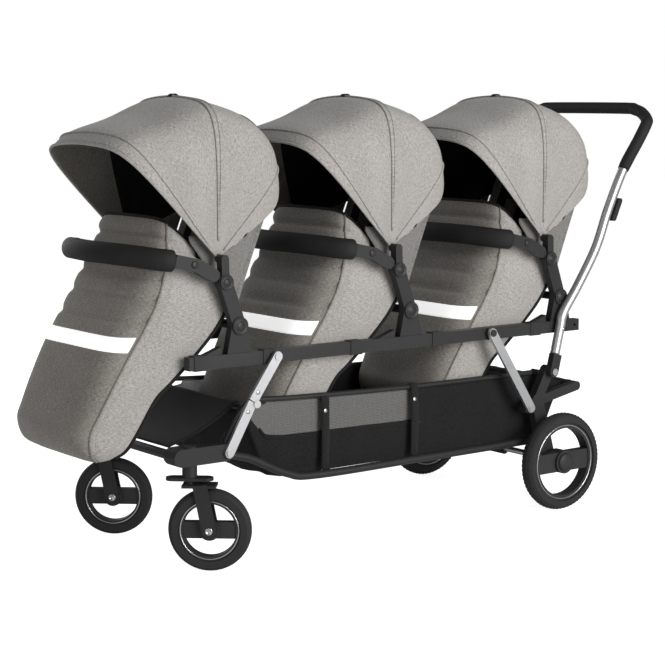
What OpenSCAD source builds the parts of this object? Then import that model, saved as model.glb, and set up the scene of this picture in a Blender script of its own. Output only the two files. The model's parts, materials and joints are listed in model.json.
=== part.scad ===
// Triple stroller: a folding tandem frame with three seats, canopies and footmuffs
// Millimetres, +X forward, +Y left, +Z up, origin under the middle of the length

/* [Frame] */
// Rear axle to castor pivot
wheel_base = 1095; // [1000:5:1200]
// Height of the seat rails above the floor
rail_height = 470; // [450:5:520]
// Half of the width over the seat rails
rail_half_width = 225; // [215:1:245]
// Height of the rail section
rail_depth = 30; // [24:1:34]
// Width of the rail section
rail_width = 22; // [18:1:24]
// Thickness of the flat folding links
link_thickness = 8; // [6:0.5:9]
// Width of the flat folding links
link_width = 24; // [20:1:28]
// Radius of the handle tube
handle_radius = 12.5; // [11:0.5:13]
// Radius of the foam handle grip
grip_radius = 15.5; // [14.5:0.5:18]
// Radius of the lower side tubes
tube_radius = 9.5; // [8:0.5:11]
// Radius of the basket rim tube
rim_radius = 6; // [5:0.5:7]

/* [Wheels] */
// Rear wheel radius
rear_wheel_radius = 126; // [115:1:135]
// Front wheel radius
front_wheel_radius = 95; // [85:1:98]
// Rear tyre width
rear_tyre_width = 40; // [34:1:44]
// Front tyre width
front_tyre_width = 34; // [28:1:36]
// Depth of a tyre from tread to rim
tyre_depth = 24; // [20:1:28]
// Rear wheel middle plane outside the rail side
rear_wheel_gap = 47; // [45:1:75]
// Castor pivot inside the rail side
castor_inset = 9; // [0:1:20]
// Distance the front axle trails its pivot
castor_trail = 45; // [35:1:55]
// Way the front wheels are turned
castor_turn = -40; // [-90:5:90]

/* [Seats] */
// Distance from one seat to the next
seat_pitch = 500; // [490:5:540]
// Side gap between a footmuff and the rail
muff_side_gap = 13; // [7:1:33]
// Footmuff wall
muff_wall = 9; // [5:1:14]
// Side gap between a liner and the rail
liner_side_gap = 40.6; // [36:0.2:53]
// Liner thickness
liner_wall = 14; // [10:1:18]
// Crown of the liner padding
liner_crown = 12; // [0:1:18]
// Radius of the canopy about its pivot
canopy_radius = 361; // [330:1:370]
// Side gap between a canopy and the rail
canopy_side_gap = 8; // [5:1:23]
// Canopy cloth and its lining
canopy_wall = 4; // [3:0.5:5]
// Radius of the bumper pad
pad_radius = 23; // [18:1:26]

/* [Fits] */
// Radial clearance of a turning pin
pin_fit = 0.05; // [0.02:0.01:0.1]
// Clearance between parts that rest on each other
seat_gap = 0.3; // [0.1:0.05:0.5]
// Gap between the rails and the folding links
link_gap = 9; // [8:0.5:12]
// Handle plane outside the rail side
handle_gap = 15; // [14:0.5:18]
// Gap between a bracket plate and its link
washer_gap = 0.5; // [0.2:0.1:1]
// Bracket plates inside the rail side
plate_inset = 13; // [10:1:16]
// Lower tubes inside the rail side
tube_inset = 7; // [5:1:9]
// Gap between a front wheel and its fork bridge
bridge_gap = 3; // [2:0.5:6]
// Front wheel top to the castor housing
housing_gap = 25; // [22:1:30]
// Front wheel top to the front leg pivots
front_pin_gap = 72; // [65:1:90]
// Castor housing above the front leg pivots
housing_rise = 23; // [18:1:28]
// Seat frames inside the rail side
frame_inset = 1.2; // [0.5:0.1:2]
// Gap between a front tyre and its fork blades
blade_gap = 1.5; // [1:0.5:4]
// Clearance round the castor stem in its lock
lock_fit = 2; // [1:0.5:4]
// Gap between a fold lever and the handle tube
lever_gap = 1.5; // [0.6:0.1:2]
// Overlap of solids that are one piece
overlap = 1; // [0.5:0.5:2]

/* [Hidden] */
$fn = 48;

// Outlines as shares of the driving sizes
handle_shares = [[-0.0201, 0.9936], [-0.0311, 1.0809], [-0.0767, 1.2234], [-0.1342, 1.4255], [-0.1726,
    1.6340], [-0.2210, 1.8532], [-0.2721, 2.0170], [-0.2977, 2.1064]];
lower_shares = [[0.9016, 0.5362], [0.8493, 0.5021], [0.7580, 0.4043], [0.6758, 0.3723], [0.3653,
    0.3745], [0.0362, 0.3787]];
rim_shares = [[0.0259, 0.7468], [0.1416, 0.7468], [0.4292, 0.7511], [0.7123, 0.7681], [0.8219, 0.7787],
    [0.8539, 0.7489], [0.8785, 0.6766], [0.9023, 0.5883]];
muff_front_shares = [[0.3000, 0.6440], [0.3760, 0.4840], [0.4720, 0.3040], [0.5680, 0.1440], [0.6280,
    0.0400], [0.6920, -0.0920], [0.7480, -0.2160], [0.7760, -0.2880], [0.7480, -0.3760], [0.6720,
    -0.4240]];
muff_back_shares = [[0.2680, 0.5440], [0.1440, 0.3640], [0.0720, 0.2400], [0.1160, 0.1500], [0.2000,
    0.0240], [0.3200, -0.0880], [0.3920, -0.1560], [0.4760, -0.2920], [0.5360, -0.3800], [0.6000,
    -0.4160]];
muff_width_shares = [0.768, 0.905, 0.989, 1.000, 0.989, 0.968, 0.937, 0.905, 0.863, 0.779];
liner_shares = [[-0.2440, 0.7440], [-0.1920, 0.6200], [-0.1320, 0.4720], [-0.0800, 0.3400], [-0.0440,
    0.2520], [0.0000, 0.2040], [0.1000, 0.2080], [0.1960, 0.2040], [0.2520, 0.1400], [0.3200, 0.0000],
    [0.4080, -0.1560], [0.4920, -0.2960]];
grip_shares = [[0.3400, 1.0000, 0.4660], [0.3720, 0.9812, 0.4696], [0.4060, 0.9014, 0.4740], [0.4420,
    0.7418, 0.4810], [0.4800, 0.5258, 0.4870], [0.5060, 0.2723, 0.4900], [0.5160, 0.0000, 0.4900]];
bracket_shares = [[0.1320, 0.3912], [0.2200, 0.4400], [0.3332, 0.4648]];
bow_shares = [[1, 0.02], [1, 0.3], [1, 0.5], [0.985, 0.66], [0.94, 0.8], [0.85, 0.9], [0.7, 0.955],
    [0.45, 0.985], [0, 1]];
front_bow_turns = [0, 11, 22, 33, 44];
front_bow_reach = [1, 1, 0.998, 0.996, 0.994];
rear_bow_turns = [4, -10, -24, -36, -46, -57.5, -58];
rear_bow_reach = [0.972, 0.968, 0.958, 0.905, 0.8, 0.67, 0.6];

// Derived sizes
function frame_point(s) = [s[0] * wheel_base, s[1] * rail_height];
function seat_point(s) = [s[0] * seat_pitch, s[1] * seat_pitch + rail_height];
first_hub = 0.8785 * wheel_base;
hub_low = [0, 0.154 * seat_pitch + rail_height];
hub_high = [0.072 * seat_pitch, 0.356 * seat_pitch + rail_height];
canopy_pivot = [0.076 * seat_pitch, 0.46 * seat_pitch + rail_height];
front_pin = [0.916 * wheel_base, 2 * front_wheel_radius + front_pin_gap];
front_top = frame_point([0.7936, 1.0021]);
front_knee = frame_point([0.8575, 0.7936]);
strut_low = frame_point([0.0685, 0.5702]);
strut_top = frame_point([0.1918, 1.0064]);
handle_pin = frame_point([0.0055, 0.7596]);
rail_tail = -0.0959 * wheel_base;
rail_front = 1.003 * wheel_base;
rail_low = rail_height - rail_depth / 2;
rail_top = rail_height + rail_depth / 2;
rail_inner = rail_half_width - rail_width;
muff_half_width = rail_inner - muff_side_gap;
liner_half_width = rail_inner - liner_side_gap;
canopy_half_width = rail_inner - canopy_side_gap;
rear_wheel_offset = rail_half_width + rear_wheel_gap;
castor_offset = rail_half_width - castor_inset;
link_inner = rail_half_width + link_gap;
link_outer = link_inner + link_thickness;
handle_plane = rail_half_width + handle_gap;
pin_radius = 5;
axle_radius = 8;
front_axle_radius = 5;
stem_radius = 8;
handle_rear = -0.3178 * wheel_base;
handle_top = 2.1925 * rail_height;
muff_reach = muff_front_shares[7][0] * seat_pitch + first_hub;
mid_x = (muff_reach + handle_rear - grip_radius) / 2;
tyre_round = 0.6 * front_tyre_width;
castor_side = (front_wheel_radius - tyre_round) * abs(sin(castor_turn)) + tyre_round;
rear_side = rear_wheel_offset + rear_tyre_width / 2;
left_side = max(rear_side, castor_offset - castor_trail * sin(castor_turn) + castor_side);
right_side = max(rear_side, castor_offset + castor_trail * sin(castor_turn) + castor_side);
mid_y = (left_side - right_side) / 2;
plate_outer = link_inner - washer_gap;
plate_inner = rail_half_width - plate_inset;
bracket_inner = 0.827 * rail_half_width;
rim_plane = 0.844 * rail_half_width;
basket_half = rim_plane - rim_radius - seat_gap;
tube_plane = rail_half_width - tube_inset;
housing_low = 2 * front_wheel_radius + housing_gap;
housing_top = front_pin[1] + housing_rise;
housing_radius = 17;
bridge_low = 2 * front_wheel_radius + bridge_gap;
bridge_height = 6;
frame_outer = rail_half_width - frame_inset;
frame_inner = rail_inner + washer_gap;

// Point lists and solids from them
function flat(l) = [for (a = l) for (b = a) b];
function unit(v) = v / norm(v);
function spline(a, b, c, d, t) = 0.5 * (2 * b + (c - a) * t + (2 * a - 5 * b + 4 * c - d) * t * t
    + (3 * b - a - 3 * c + d) * t * t * t);
function curve(p, n) = concat([for (i = [0 : len(p) - 2]) for (k = [0 : n - 1])
    spline(p[max(i - 1, 0)], p[i], p[i + 1], p[min(i + 2, len(p) - 1)], k / n)], [p[len(p) - 1]]);
function heading(p, i) = unit(p[min(i + 1, len(p) - 1)] - p[max(i - 1, 0)]);
function ring(c, t, r, n, ref) = let (u = unit(cross(t, ref)), v = cross(u, t))
    [for (k = [0 : n - 1]) c + r * cos(360 * k / n) * u + r * sin(360 * k / n) * v];
function strip(n, m, s, flip) = [for (i = [0 : n - 2]) for (j = [0 : m - 2])
    let (a = s + i * m + j, b = a + 1, c = a + m, d = c + 1)
    each (flip ? [[a, d, b], [a, c, d]] : [[a, b, d], [a, d, c]])];
function edge(a, b, c, d, flip) = flip ? [[a, d, b], [a, c, d]] : [[a, b, d], [a, d, c]];

module thick_sheet(outer, inner, flip) {
    n = len(outer);
    m = len(outer[0]);
    o = n * m;
    faces = concat(strip(n, m, 0, flip), strip(n, m, o, !flip),
        [for (i = [0 : n - 2]) each edge(i * m, (i + 1) * m, o + i * m, o + (i + 1) * m, flip)],
        [for (i = [0 : n - 2]) each edge(i * m + m - 1, (i + 1) * m + m - 1, o + i * m + m - 1,
            o + (i + 1) * m + m - 1, !flip)],
        [for (j = [0 : m - 2]) each edge(j, j + 1, o + j, o + j + 1, !flip)],
        [for (j = [0 : m - 2]) each edge((n - 1) * m + j, (n - 1) * m + j + 1, o + (n - 1) * m + j,
            o + (n - 1) * m + j + 1, flip)]);
    polyhedron(concat(flat(outer), flat(inner)), faces);
}

module sweep(path, r, n, ref) {
    rings = [for (i = [0 : len(path) - 1]) ring(path[i], heading(path, i), r, n, ref)];
    k = len(path);
    sides = [for (i = [0 : k - 2]) for (j = [0 : n - 1])
        let (a = i * n + j, b = i * n + (j + 1) % n, c = a + n, d = b + n) each [[a, b, d], [a, d, c]]];
    caps = concat([for (j = [1 : n - 2]) [0, j + 1, j]],
        [for (j = [1 : n - 2]) [(k - 1) * n, (k - 1) * n + j, (k - 1) * n + j + 1]]);
    polyhedron(flat(rings), concat(sides, caps));
}

module sleeve(path, r, hole, n, ref) {
    k = len(path);
    o = k * n;
    outer = [for (i = [0 : k - 1]) ring(path[i], heading(path, i), r, n, ref)];
    inner = [for (i = [0 : k - 1]) ring(path[i], heading(path, i), hole, n, ref)];
    sides = [for (i = [0 : k - 2]) for (j = [0 : n - 1])
        let (a = i * n + j, b = i * n + (j + 1) % n, c = a + n, d = b + n)
        each [[a, b, d], [a, d, c], [o + a, o + d, o + b], [o + a, o + c, o + d]]];
    ends = [for (j = [0 : n - 1]) let (a = j, b = (j + 1) % n, e = (k - 1) * n)
        each [[a, o + b, b], [a, o + a, o + b], [e + a, e + b, o + e + b], [e + a, o + e + b,
            o + e + a]]];
    polyhedron(concat(flat(outer), flat(inner)), concat(sides, ends));
}

module place() {
    translate([-mid_x, -mid_y, 0]) children();
}

module both() {
    children();
    mirror([0, 1, 0]) children();
}

module slab(y0, y1) {
    translate([0, y1, 0]) rotate([90, 0, 0]) linear_extrude(y1 - y0) children();
}

module along_y(p, y0, y1, r) {
    translate([p[0], y0, p[1]]) rotate([-90, 0, 0]) cylinder(r = r, h = y1 - y0);
}

module spot(p, r) {
    translate(p) circle(r = r);
}

module beam(a, b, w) {
    n = [a[1] - b[1], b[0] - a[0]] / norm(b - a) * w / 2;
    polygon([a + n, b + n, b - n, a - n]);
}

module bar(a, b, w) {
    spot(a, w / 2);
    spot(b, w / 2);
    beam(a, b, w);
}

function side_path(shares, y, n) = curve([for (s = shares) [frame_point(s)[0], y, frame_point(s)[1]]], n);

module lower_frame() {
    color("#1d1d1f") place() both() sweep(side_path(lower_shares, tube_plane, 3), tube_radius, 14, [0,
        1, 0]);
}

crossbar_x = 1.0275 * wheel_base;
crossbar_radius = 11;

module front_crossbar() {
    color("#1d1d1f") place() {
        along_y([crossbar_x, front_pin[1]], -bracket_inner, bracket_inner, crossbar_radius);
    }
}

bracket_depth = 40;

module front_brackets() {
    color("#161618") place() both() difference() {
        union() {
            slab(bracket_inner + seat_gap, plate_outer)
                bar(front_pin + [bracket_depth / 10, 0], [crossbar_x, front_pin[1]], bracket_depth);
            translate([wheel_base, castor_offset, housing_low])
                cylinder(r = housing_radius, h = housing_top - housing_low);
        }
        translate([wheel_base, castor_offset, housing_low - bracket_depth])
            cylinder(r = stem_radius + pin_fit, h = housing_top - housing_low + bracket_depth - seat_gap);
        along_y(front_pin, plate_inner, plate_outer + bracket_depth, pin_radius);
    }
}

module rear_axle() {
    color("#8d8f93") place()
        along_y([0, rear_wheel_radius], -rear_wheel_offset - rear_tyre_width / 2,
            rear_wheel_offset + rear_tyre_width / 2, axle_radius);
}

plate_width = 30;
fork_point = frame_point([0.042, 0.6]);
rear_bar_point = frame_point([-0.0858, 0.6574]);
rear_bar_radius = 13;
rim_rest_radius = 8;
rim_rest = frame_point(rim_shares[0]) - [rim_rest_radius + seat_gap, 0];

module rear_brackets() {
    color("#161618") place() both() difference() {
        union() {
            along_y(rim_rest, rim_plane - rim_radius, plate_inner + overlap, rim_rest_radius);
            slab(plate_inner, plate_outer) bar([0, rear_wheel_radius], fork_point, plate_width * 1.3);
            slab(plate_inner, plate_outer) bar(fork_point, strut_low, plate_width);
            slab(plate_inner, plate_outer) bar(fork_point, handle_pin, plate_width);
            slab(plate_inner, plate_outer) bar(fork_point, rear_bar_point, plate_width * 0.8);
        }
        along_y([0, rear_wheel_radius], 0, rear_wheel_offset, axle_radius);
        along_y(strut_low, 0, rear_wheel_offset, pin_radius);
        along_y(handle_pin, 0, rear_wheel_offset, pin_radius);
    }
}

module basket_rim() {
    color("#1d1d1f") place() {
        both() sweep(side_path(rim_shares, rim_plane, 3), rim_radius, 12, [0, 1, 0]);
        along_y(frame_point(rim_shares[5]), -rim_plane, rim_plane, rim_radius);
    }
}

basket_shares = [[-0.0752, 0.672], [-0.02, 0.374], [0.785, 0.374], [0.845, 0.735], [0.7, 0.757], [0.43,
    0.751],
    [0.14, 0.7468]];
basket_wall = 3;

module basket() {
    color("#1b1b1d") place() difference() {
        slab(-basket_half, basket_half) polygon([for (s = basket_shares) frame_point(s)]);
        slab(-basket_half + basket_wall, basket_half - basket_wall) polygon([
            frame_point(basket_shares[0]) + [basket_wall, basket_wall * 30],
            frame_point(basket_shares[1]) + [basket_wall, basket_wall],
            frame_point(basket_shares[2]) + [-basket_wall, basket_wall],
            frame_point(basket_shares[3]) + [-basket_wall * 1.5, basket_wall],
            frame_point(basket_shares[3]) + [-basket_wall * 1.5, basket_wall * 20]]);
    }
}

sling_wall = 4;
sling_half = 0.78 * rail_half_width;
sling_low = [crossbar_x, front_pin[1] + crossbar_radius + sling_wall / 2 + seat_gap];
sling_top = frame_point(rim_shares[5]) + [0, rim_radius * 1.13 + sling_wall / 2 + seat_gap];

sling_lift = [0, sling_wall / 2];
sling_mid = (sling_low + sling_top) / 2 - [sling_wall, sling_wall];

module footrest_sling() {
    color("#17171a") place() slab(-sling_half, sling_half)
        polygon([sling_low - sling_lift, sling_mid - sling_lift, sling_top - sling_lift,
            sling_top + sling_lift, sling_mid + sling_lift, sling_low + sling_lift]);
}

module rear_bar() {
    color("#17171a") place()
        along_y(rear_bar_point, -plate_inner + seat_gap, plate_inner - seat_gap, rear_bar_radius);
}

head_radius = 9;
head_height = 3;

module base_pins() {
    color("#c9cbce") place() both() for (p = [[front_pin, link_outer], [strut_low, link_outer],
        [handle_pin, handle_plane + handle_radius]]) {
        along_y(p[0], plate_inner, p[1] + head_height + seat_gap, pin_radius);
        along_y(p[0], p[1] + seat_gap, p[1] + seat_gap + head_height, head_radius);
    }
}

pedal_half = 60;
pedal_tip = [-0.1 * wheel_base, 0.2 * rail_height];

module brake_pedal() {
    color("#b3261e") place() difference() {
        union() {
            along_y([0, rear_wheel_radius], -pedal_half, pedal_half, axle_radius * 2);
            slab(-pedal_half / 2, pedal_half / 2) bar([-axle_radius, rear_wheel_radius], pedal_tip,
                axle_radius * 1.4);
        }
        along_y([0, rear_wheel_radius], -pedal_half * 2, pedal_half * 2, axle_radius + pin_fit);
    }
}

module tyre(r, w) {
    rotate([90, 0, 0]) rotate_extrude($fn = 96) intersection() {
        translate([r - w * 0.6, 0]) circle(r = w * 0.6);
        translate([r - tyre_depth, -w / 2]) square([tyre_depth, w]);
    }
}

spoke_turn = 0;

module rim(r, w, bore, hub) {
    band = r * 0.11;
    rotate([90, 0, 0]) difference() {
        union() {
            rotate_extrude($fn = 96) translate([r - tyre_depth - band,
                -w * 0.38]) square([band - pin_fit, w * 0.76]);
            translate([0, 0, -w * 0.3]) intersection() {
                cylinder(r = r - tyre_depth - band / 2, h = w * 0.6, $fn = 96);
                rotate([0, 0, spoke_turn]) translate([-r, -r * 0.2, 0]) cube([2 * r, r * 0.4, w]);
            }
            translate([0, 0, -hub / 2]) cylinder(r = r * 0.24, h = hub);
        }
        translate([0, 0, -hub]) cylinder(r = bore + pin_fit, h = 2 * hub);
    }
}

module rear_spot(side) {
    place() translate([0, side * rear_wheel_offset, rear_wheel_radius]) children();
}

module rear_left_tyre() {
    color("#1a1a1b") rear_spot(1) tyre(rear_wheel_radius, rear_tyre_width);
}

module rear_left_rim() {
    color("#2a2a2c") rear_spot(1) rim(rear_wheel_radius, rear_tyre_width, axle_radius,
        rear_tyre_width - lock_fit);
}

module rear_right_tyre() {
    color("#1a1a1b") rear_spot(-1) tyre(rear_wheel_radius, rear_tyre_width);
}

module rear_right_rim() {
    color("#2a2a2c") rear_spot(-1) rim(rear_wheel_radius, rear_tyre_width, axle_radius,
        rear_tyre_width - lock_fit);
}

module castor(side) {
    place() translate([wheel_base, side * castor_offset, 0]) rotate([0, 0, castor_turn]) children();
}

module castor_wheel(side) {
    castor(side) translate([-castor_trail, 0, front_wheel_radius]) children();
}

blade_inner = front_tyre_width / 2 + blade_gap;
blade_wall = 6;

module fork() {
    cheek = front_wheel_radius * 0.34;
    axle = [-castor_trail, front_wheel_radius];
    difference() {
        union() {
            translate([0, 0, bridge_low]) cylinder(r = stem_radius,
                h = housing_top - bridge_low - overlap);
            translate([0, 0, bridge_low]) linear_extrude(bridge_height) {
                spot([0, 0], stem_radius * 2);
                translate([-castor_trail - cheek / 2, -blade_inner - blade_wall])
                    square([castor_trail + cheek, 2 * (blade_inner + blade_wall)]);
            }
            both() slab(blade_inner, blade_inner + blade_wall) {
                beam([-castor_trail * 0.55, bridge_low + bridge_height], axle, cheek);
                spot(axle, cheek / 2);
            }
            along_y(axle, -blade_inner - blade_wall, blade_inner + blade_wall, front_axle_radius);
        }
    }
}

module front_left_fork() {
    color("#161618") castor(1) fork();
}

module front_left_tyre() {
    color("#1a1a1b") castor_wheel(1) tyre(front_wheel_radius, front_tyre_width);
}

module front_left_rim() {
    color("#2a2a2c") castor_wheel(1) rim(front_wheel_radius, front_tyre_width, front_axle_radius,
        front_tyre_width);
}

module front_right_fork() {
    color("#161618") castor(-1) fork();
}

module front_right_tyre() {
    color("#1a1a1b") castor_wheel(-1) tyre(front_wheel_radius, front_tyre_width);
}

module front_right_rim() {
    color("#2a2a2c") castor_wheel(-1) rim(front_wheel_radius, front_tyre_width, front_axle_radius,
        front_tyre_width);
}

lock_height = 7;
lock_reach = 36;

module swivel_lock(side) {
    place() translate([wheel_base, side * castor_offset, housing_low - lock_height - seat_gap])
        rotate([0, 0, castor_turn]) difference() {
            linear_extrude(lock_height) union() {
                spot([-lock_reach, 0], lock_reach / 2);
                spot([lock_reach, 0], lock_reach / 2);
                translate([-lock_reach, -lock_reach / 2]) square([2 * lock_reach, lock_reach]);
            }
            translate([0, 0, -lock_height]) cylinder(r = stem_radius + lock_fit, h = 3 * lock_height);
        }
}

module swivel_lock_left() {
    color("#202022") swivel_lock(1);
}

module swivel_lock_right() {
    color("#202022") swivel_lock(-1);
}

module rear_struts() {
    color("#b9bbbf") place() both() slab(link_inner, link_outer) difference() {
        bar(strut_low, strut_top, link_width);
        spot(strut_low, pin_radius + pin_fit);
        spot(strut_top, pin_radius + pin_fit);
    }
}

tail_bore = 4;

module rails() {
    color("#1d1d1f") place() both() difference() {
        union() {
            translate([rail_tail, rail_inner, rail_low])
                cube([rail_front - rail_tail, rail_width, rail_depth]);
            along_y(strut_top, rail_half_width - overlap, link_inner - seat_gap, pin_radius * 2);
            along_y(strut_top, rail_half_width - overlap, link_outer + head_height, pin_radius);
            along_y(strut_top, link_outer + seat_gap, link_outer + seat_gap + head_height, head_radius);
        }
        along_y([rail_tail + rail_depth / 2, rail_height], 0, rail_half_width * 2, tail_bore);
    }
}

collar_shares = [0.03, 0.33, 0.56, 0.79, 0.96];
collar_length = 34;
collar_wall = 2;
wedge_length = 0.1 * seat_pitch;

module rail_fittings() {
    color("#101011") place() both() {
        for (s = collar_shares) difference() {
            translate([s * wheel_base, rail_inner - collar_wall, rail_low - collar_wall])
                cube([collar_length, rail_width + 2 * collar_wall, rail_depth + 2 * collar_wall]);
            translate([s * wheel_base - overlap, rail_inner - pin_fit, rail_low - pin_fit])
                cube([collar_length + 2 * overlap, rail_width + 2 * pin_fit, rail_depth + 2 * pin_fit]);
        }
        for (k = [0 : 2]) slab(rail_inner + collar_wall, rail_half_width - collar_wall) polygon([
            [first_hub - k * seat_pitch + wedge_length, rail_top + pin_fit],
            [first_hub - k * seat_pitch + 2 * wedge_length, rail_top + pin_fit],
            [first_hub - k * seat_pitch + wedge_length, rail_top + wedge_length * 0.36]]);
    }
}

knee_gap = 1;
knee_unit = unit(front_top - front_pin);
knee_axis = front_knee + [-knee_unit[1], knee_unit[0]] * link_width / 2;

module front_lower_legs() {
    color("#b9bbbf") place() both() slab(link_inner, link_outer) difference() {
        union() {
            spot(front_pin, link_width / 2);
            beam(front_pin, front_knee - knee_unit * knee_gap, link_width);
        }
        spot(front_pin, pin_radius + pin_fit);
    }
}

module front_upper_legs() {
    color("#b9bbbf") place() both() {
        slab(link_inner, link_outer) {
            spot(front_top, link_width / 2);
            beam(front_knee + knee_unit * knee_gap, front_top, link_width);
        }
        along_y(front_top, link_outer, link_outer + head_height, head_radius);
        along_y(knee_axis, link_outer, link_outer + head_height, head_radius);
    }
}

foot_unit = unit(frame_point(handle_shares[0]) - handle_pin);
foot_length = 46;
foot_end = handle_pin + foot_unit * foot_length;
foot_width = 28;

module handle_feet() {
    color("#161618") place() both() slab(link_inner, handle_plane + handle_radius) difference() {
        union() {
            spot(handle_pin, foot_width / 2);
            beam(handle_pin, foot_end, foot_width);
        }
        spot(handle_pin, pin_radius + pin_fit);
    }
}

handle_corner = [[0.972, 0.955], [0.988, 0.86], [0.9965, 0.74], [1, 0.58]];
side_run = concat([foot_end + foot_unit * seat_gap], [for (s = handle_shares) frame_point(s)]);
left_run = concat([for (p = side_run) [p[0], handle_plane, p[1]]],
    [for (c = handle_corner) [handle_rear * c[0], handle_plane * c[1], handle_top * c[0]]]);
right_run = [for (i = [len(left_run) - 1 : -1 : 0]) [left_run[i][0], -left_run[i][1], left_run[i][2]]];
handle_path = curve(concat(left_run, right_run), 3);
skew = [0.3, 0.2, 0.93];
grip_from = 18;

module handle_tube() {
    color("#c4c6c9") place() sweep(handle_path, handle_radius, 14, skew);
}

module handle_grip() {
    color("#141415") place() sleeve([for (i = [grip_from : len(handle_path) - 1 - grip_from]) handle_path[i]],
        grip_radius, handle_radius + pin_fit * 4, 14, skew);
}

lever_low = frame_point([-0.1668, 1.6040]);
lever_high = frame_point([-0.1855, 1.7000]);
lever_unit = unit(lever_high - lever_low);
lever_side = [-lever_unit[1], lever_unit[0]];
lever_width = 14;

module fold_levers() {
    color("#141415") place() both() slab(handle_plane - handle_radius, handle_plane + handle_radius)
        bar(lever_low + lever_side * (handle_radius + lever_width / 2 + lever_gap),
            lever_high + lever_side * (handle_radius + lever_width / 2 + lever_gap), lever_width);
}

module seat(k) {
    place() translate([first_hub - (k - 1) * seat_pitch, 0, 0]) children();
}

hub_low_radius = 21;
hub_high_radius = 19;
arm_width = 34;
boss_radius = 10;

module seat_frame() {
    both() {
        slab(frame_inner, frame_outer) {
            spot(hub_low, hub_low_radius);
            spot(hub_high, hub_high_radius);
            beam(hub_low, hub_high, arm_width);
            bar(hub_high, canopy_pivot, boss_radius * 2);
            polygon([[-arm_width, rail_top + seat_gap], [arm_width, rail_top + seat_gap],
                [hub_low_radius, hub_low[1]], [-hub_low_radius, hub_low[1]]]);
        }
        slab(frame_outer - 1, frame_outer + head_height) {
            spot(hub_low, hub_low_radius * 0.82);
            spot(hub_high, hub_high_radius * 0.8);
        }
        along_y(canopy_pivot, canopy_half_width + seat_gap, frame_inner + 1, boss_radius);
    }
    along_y(hub_low, -frame_inner - 1, frame_inner + 1, boss_radius);
}

liner_path = curve([for (s = liner_shares) seat_point(s)], 1);
function across(p, i) = let (t = unit(p[min(i + 1, len(p) - 1)] - p[max(i - 1, 0)])) [-t[1], t[0]];
liner_steps = [-1, -0.75, -0.4, 0, 0.4, 0.75, 1];

module liner() {
    front = [for (i = [0 : len(liner_path) - 1]) [for (s = liner_steps)
        let (q = liner_path[i] + across(liner_path, i) * liner_crown * (1 - s * s)
            * (abs(i - 5) < 1 ? 0.35 : 1)) [q[0], s * liner_half_width, q[1]]]];
    back = [for (i = [0 : len(liner_path) - 1]) [for (s = liner_steps)
        let (q = liner_path[i] - across(liner_path, i) * liner_wall) [q[0], s * liner_half_width, q[1]]]];
    thick_sheet(front, back, true);
}

muff_across = [[1, 0], [1, 0.35], [0.98, 0.65], [0.9, 0.86], [0.72, 0.965], [0.4, 0.995], [0, 1],
    [-0.4, 0.995], [-0.72, 0.965], [-0.9, 0.86], [-0.98, 0.65], [-1, 0.35], [-1, 0]];

function muff_row(i, inset) = let (f = seat_point(muff_front_shares[i]),
    b = seat_point(muff_back_shares[i]),
    w = muff_width_shares[i] * muff_half_width - inset, l = norm(f - b), e = unit(f - b))
    [for (s = muff_across) let (q = b + e * (s[1] * (l - inset))) [q[0], s[0] * w, q[1]]];

module footmuff() {
    n = len(muff_front_shares);
    outer = [for (i = [0 : n - 1]) muff_row(i, 0)];
    inner = [for (i = [0 : n - 1]) muff_row(i, muff_wall)];
    thick_sheet(outer, inner, false);
}

bow_full = concat(bow_shares, [for (i = [len(bow_shares) - 2 : -1 : 0]) [-bow_shares[i][0],
    bow_shares[i][1]]]);

function bow(turn, reach, half) = [for (s = bow_full)
    [canopy_pivot[0] + sin(turn) * reach * s[1], s[0] * half,
        canopy_pivot[1] + cos(turn) * reach * s[1]]];

module canopy(turns, reaches, radius, half) {
    outer = [for (i = [0 : len(turns) - 1]) bow(turns[i], radius * reaches[i], half)];
    inner = [for (i = [0 : len(turns) - 1]) bow(turns[i], radius * reaches[i] - canopy_wall,
        half - canopy_wall)];
    thick_sheet(outer, inner, true);
}

module canopy_front() {
    canopy(front_bow_turns, front_bow_reach, canopy_radius, canopy_half_width);
}

module canopy_rear() {
    canopy(rear_bow_turns, rear_bow_reach, canopy_radius, canopy_half_width - canopy_wall - seat_gap);
}

bumper_inner = frame_inner + 1;
bumper_outer = frame_outer - 1;
bumper_width = 30;

module bumper_brackets() {
    p = [for (s = bracket_shares) seat_point(s)];
    a = unit(p[1] - p[0]);
    b = unit(p[2] - p[1]);
    n = bumper_width / 2 * [-a[1], a[0]];
    m = bumper_width / 2 * [-(a[1] + b[1]) / 2, (a[0] + b[0]) / 2];
    e = bumper_width / 2 * [-b[1], b[0]];
    both() slab(bumper_inner, bumper_outer)
        polygon([p[0] + n, p[0] + n * 0.7 - a * bumper_width * 0.36, p[0] - a * bumper_width * 0.5,
            p[0] - n * 0.7 - a * bumper_width * 0.36, p[0] - n, p[1] - m, p[2] - e, p[2] + e, p[1] + m]);
}

grip_half = [for (s = grip_shares) [s[0] * seat_pitch, s[1] * (rail_half_width - rail_width / 2 - 1),
    s[2] * seat_pitch + rail_height]];
grip_path = curve(concat(grip_half, [for (i = [len(grip_half) - 2 : -1 : 0]) [grip_half[i][0],
    -grip_half[i][1], grip_half[i][2]]]), 2);

module bumper_grip() {
    sweep(grip_path, pad_radius, 14, [0, 0, 1]);
}

module seat_1_frame() {
    color("#161618") seat(1) seat_frame();
}

module seat_1_liner() {
    color("#202022") seat(1) liner();
}

module seat_1_footmuff() {
    color("#8b857c") seat(1) footmuff();
}

module seat_1_canopy_rear() {
    color("#9a948b") seat(1) canopy_rear();
}

module seat_1_canopy_front() {
    color("#9a948b") seat(1) canopy_front();
}

module seat_1_bumper_brackets() {
    color("#1a1a1b") seat(1) bumper_brackets();
}

module seat_1_bumper_grip() {
    color("#19191a") seat(1) bumper_grip();
}

module seat_2_frame() {
    color("#161618") seat(2) seat_frame();
}

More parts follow.
